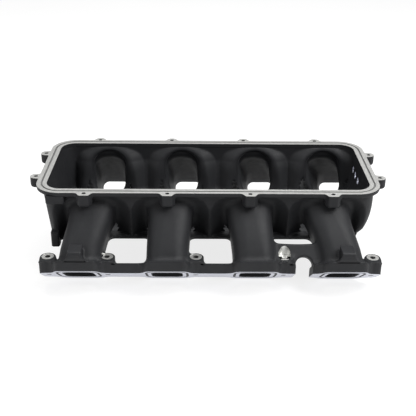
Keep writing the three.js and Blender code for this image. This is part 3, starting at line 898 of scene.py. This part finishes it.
def seal_outlines(shrink):
    """The outer and inner edges of a port's seal groove, or of a seal that is narrower by shrink."""
    reaches = (SEAL["offset"] + SEAL["width"] - shrink, SEAL["offset"] + shrink)
    half_x, half_y = PORT["width"] / 2, PORT["height"] / 2
    return [outline_points(half_x + r, half_y + r, PORT["radius"] + r) for r in reaches]


def make_flange(bank, node, low_x, high_x):
    low, high = node_span(node, pad=PAD["flange"])
    piece = field_piece(node + "_cast", flange_field(bank, low_x, high_x), low, high, STEP["flange"])
    middle = port_axes(bank, 0)
    cutters = [prism(middle, outline_points(PAST, 150, 1, 1), -30, 0)]
    cutters += [bolt_cutter(bank, x) for x in bank.bolts if low_x < x < high_x]
    for x in bank.ports:
        if low_x < x < high_x:
            cutters.append(ring_prism(port_axes(bank, x), *seal_outlines(0), -5, SEAL["depth"]))
    cut(piece, cutters)
    # The port faces take the darker metal: painted shade.
    tests = [(FACE_SHADED_METAL, port_face(bank)), (BORE, bolt_walls(bank))]
    return finish_piece(piece, node, tests=tests)


def make_seal(bank, index):
    """A seal bead: a rounded strip that lies in its groove."""
    node = f"port_seal_{bank.name}_{index + 1}"
    axes = port_axes(bank, bank.ports[index])
    outer, inner = seal_outlines(SEAL_SHRINK)
    count = len(outer)
    points = []
    for mix, depth in SEAL_SECTION:
        for (ox, oy), (ix, iy) in zip(outer, inner):
            points.append(axes.place(ox + (ix - ox) * mix, oy + (iy - oy) * mix, depth))
    faces = []
    rows = len(SEAL_SECTION)
    for row in range(rows):
        below = (row + 1) % rows
        for i in range(count):
            j = (i + 1) % count
            faces.append([row * count + i, row * count + j, below * count + j, below * count + i])
    piece = new_object(node + "_bead", points, faces)
    fix_normals(piece)
    return finish_piece(piece, node, slot="seal_rubber")


def fix_normals(obj):
    mesh = bmesh.new()
    mesh.from_mesh(obj.data)
    bmesh.ops.recalc_face_normals(mesh, faces=mesh.faces)
    mesh.to_mesh(obj.data)
    mesh.free()


def make_tub():
    low, high = node_span(*TUB_NODES, pad=PAD["tub"])
    piece = field_piece("plenum_tub_cast", tub_field, low, high, STEP["tub"])
    cutters = []
    for y in END_HOLES["ys"]:
        axes = Axes((0, y, END_HOLES["z"]), (0, 1, 0), (0, 0, 1))
        cutters.append(prism(axes, circle_points(END_HOLES["radius"]), 150, 240))
    cut(piece, cutters)

    def hole_walls(centres, normals):
        ys = np.array(END_HOLES["ys"])
        away = np.hypot(centres[:, 1:2] - ys, centres[:, 2:3] - END_HOLES["z"]).min(axis=1)
        return (np.abs(away - END_HOLES["radius"]) < 0.12) & (centres[:, 0] > 0)

    # The end holes' walls take the port faces' darker metal, painted shade.
    return finish_piece(piece, *TUB_NODES, tests=[(FACE_SHADED_METAL, hole_walls)])


def rail_top(centres, normals):
    return (np.abs(centres[:, 2]) < TOUCH / 2) & (normals[:, 2] > FACING)


def make_rail():
    low, high = node_span(*RAIL_NODES, pad=PAD["rail"])
    piece = field_piece("rail_flange_cast", rail_field, low, high, STEP["rail"])
    width = RAIL["width"]
    inset = RAIL_GROOVE["inset"]
    half_x = RAIL["half_length"] + width - inset
    half_y = RAIL["half_width"] + width - inset
    radius = RAIL["radius"] + width - inset
    groove = RAIL_GROOVE["width"]
    cutters = [prism(upright(), outline_points(PAST, 300, 1, 1), 0, 20)]
    outer = outline_points(half_x, half_y, radius, 16)
    inner = outline_points(half_x - groove, half_y - groove, radius - groove, 16)
    cutters.append(ring_prism(upright(), outer, inner, -RAIL_GROOVE["depth"], 5))
    for x, y, *_ in rail_bolts():
        cutters.append(prism(upright(x, y), circle_points(RAIL_BOLT["radius"], 28), -30, 10))
    cut(piece, cutters)

    def groove_walls(centres, normals):
        x, y, z = centres.T
        off = np.abs(rounded_rect(x, y, half_x - groove / 2, half_y - groove / 2, radius - groove / 2))
        return (off < groove / 2 + 0.1) & (z > -RAIL_GROOVE["depth"] - 0.1) & (z < -0.02)

    def hole_walls(centres, normals):
        away = axis_distance(centres, [bolt[:2] for bolt in rail_bolts()])
        return np.abs(away - RAIL_BOLT["radius"]) < TOUCH

    # The groove walls take the darker metal: painted shade in the groove.
    tests = [(RAIL_METAL, rail_top), (GROOVE_SHADED_METAL, groove_walls), (BORE, hole_walls)]
    return finish_piece(piece, *RAIL_NODES, tests=tests)


# ---------- studio ----------
def pale_floor():
    material, tree, shader = new_material("studio_floor")
    link_ramp(tree, noise(tree, 3, 2), shader.inputs["Base Color"], (0.26, 0.26, 0.26), (0.30, 0.30, 0.30))
    shader.inputs["Roughness"].default_value = 0.9
    shader.inputs["Specular IOR Level"].default_value = 0.1
    shader.inputs["Emission Color"].default_value = (1, 1, 1, 1)
    shader.inputs["Emission Strength"].default_value = 0.8
    return material


def make_floor(size=6.0, lift=-0.0005):
    mesh = bpy.data.meshes.new("floor")
    corners = [(-size, -size, lift), (size, -size, lift), (size, size, lift), (-size, size, lift)]
    mesh.from_pydata(corners, [], [(0, 1, 2, 3)])
    mesh.materials.append(pale_floor())
    floor = bpy.data.objects.new("floor", mesh)
    bpy.context.scene.collection.objects.link(floor)


def area_light(name, place, aim, size, power):
    data = bpy.data.lights.new(name, "AREA")
    data.shape = "RECTANGLE"
    data.size, data.size_y = size
    data.energy = power
    light = bpy.data.objects.new(name, data)
    bpy.context.scene.collection.objects.link(light)
    light.location = place
    light.rotation_euler = (Vector(aim) - Vector(place)).to_track_quat("-Z", "Y").to_euler()


def make_lights():
    aim = (0, 0, 0.06)
    area_light("key_right", (0.9, -0.5, 1.3), aim, (0.9, 0.9), 26)
    area_light("top_soft", (0.0, 0.3, 1.6), aim, (1.8, 1.2), 20)
    area_light("fill_left", (-1.3, -0.8, 0.9), aim, (1.0, 1.0), 6)
    world = bpy.data.worlds.new("studio")
    world.use_nodes = True
    background = world.node_tree.nodes["Background"]
    background.inputs["Color"].default_value = (1, 1, 1, 1)
    background.inputs["Strength"].default_value = 0.3
    bpy.context.scene.world = world
    bpy.context.scene.view_settings.view_transform = "Standard"


CAMERA = {"place": (-12.54, -986.3, 416.43), "yaw": -0.75, "pitch": 26.0, "roll": -0.6, "lens": 68.34}


def make_camera():
    data = bpy.data.cameras.new("camera")
    data.lens = CAMERA["lens"]
    data.sensor_width = 36
    data.clip_start = 0.05
    camera = bpy.data.objects.new("camera", data)
    bpy.context.scene.collection.objects.link(camera)
    yaw, pitch, roll = (math.radians(CAMERA[k]) for k in ("yaw", "pitch", "roll"))
    turn = Matrix.Rotation(yaw, 3, "Z")
    forward = turn @ Vector((0, math.cos(pitch), -math.sin(pitch)))
    right = turn @ Vector((1, 0, 0))
    down = forward.cross(right)
    across = math.cos(roll) * right + math.sin(roll) * down
    upward = math.sin(roll) * right - math.cos(roll) * down
    basis = Matrix((across, upward, -forward)).transposed().to_4x4()
    camera.matrix_world = Matrix.Translation(ORIGIN + Vector(CAMERA["place"]) * MM) @ basis
    bpy.context.scene.camera = camera


def make_manifold():
    make_tub()
    make_rail()
    for bank in BANKS:
        for index in range(4):
            make_runner(bank, index)
            make_seal(bank, index)
        for number in range(5):
            make_boss(bank, number)
    front, rear = BANKS
    make_flange(rear, "port_flange_rear", *rear.ends)
    split = (NOTCH["left"] + NOTCH["right"]) / 2
    make_flange(front, "port_flange_front", front.ends[0], split)
    make_flange(front, "port_flange_front_end", split, front.ends[1])
    make_web()


make_camera()
make_lights()
make_floor()
make_manifold()
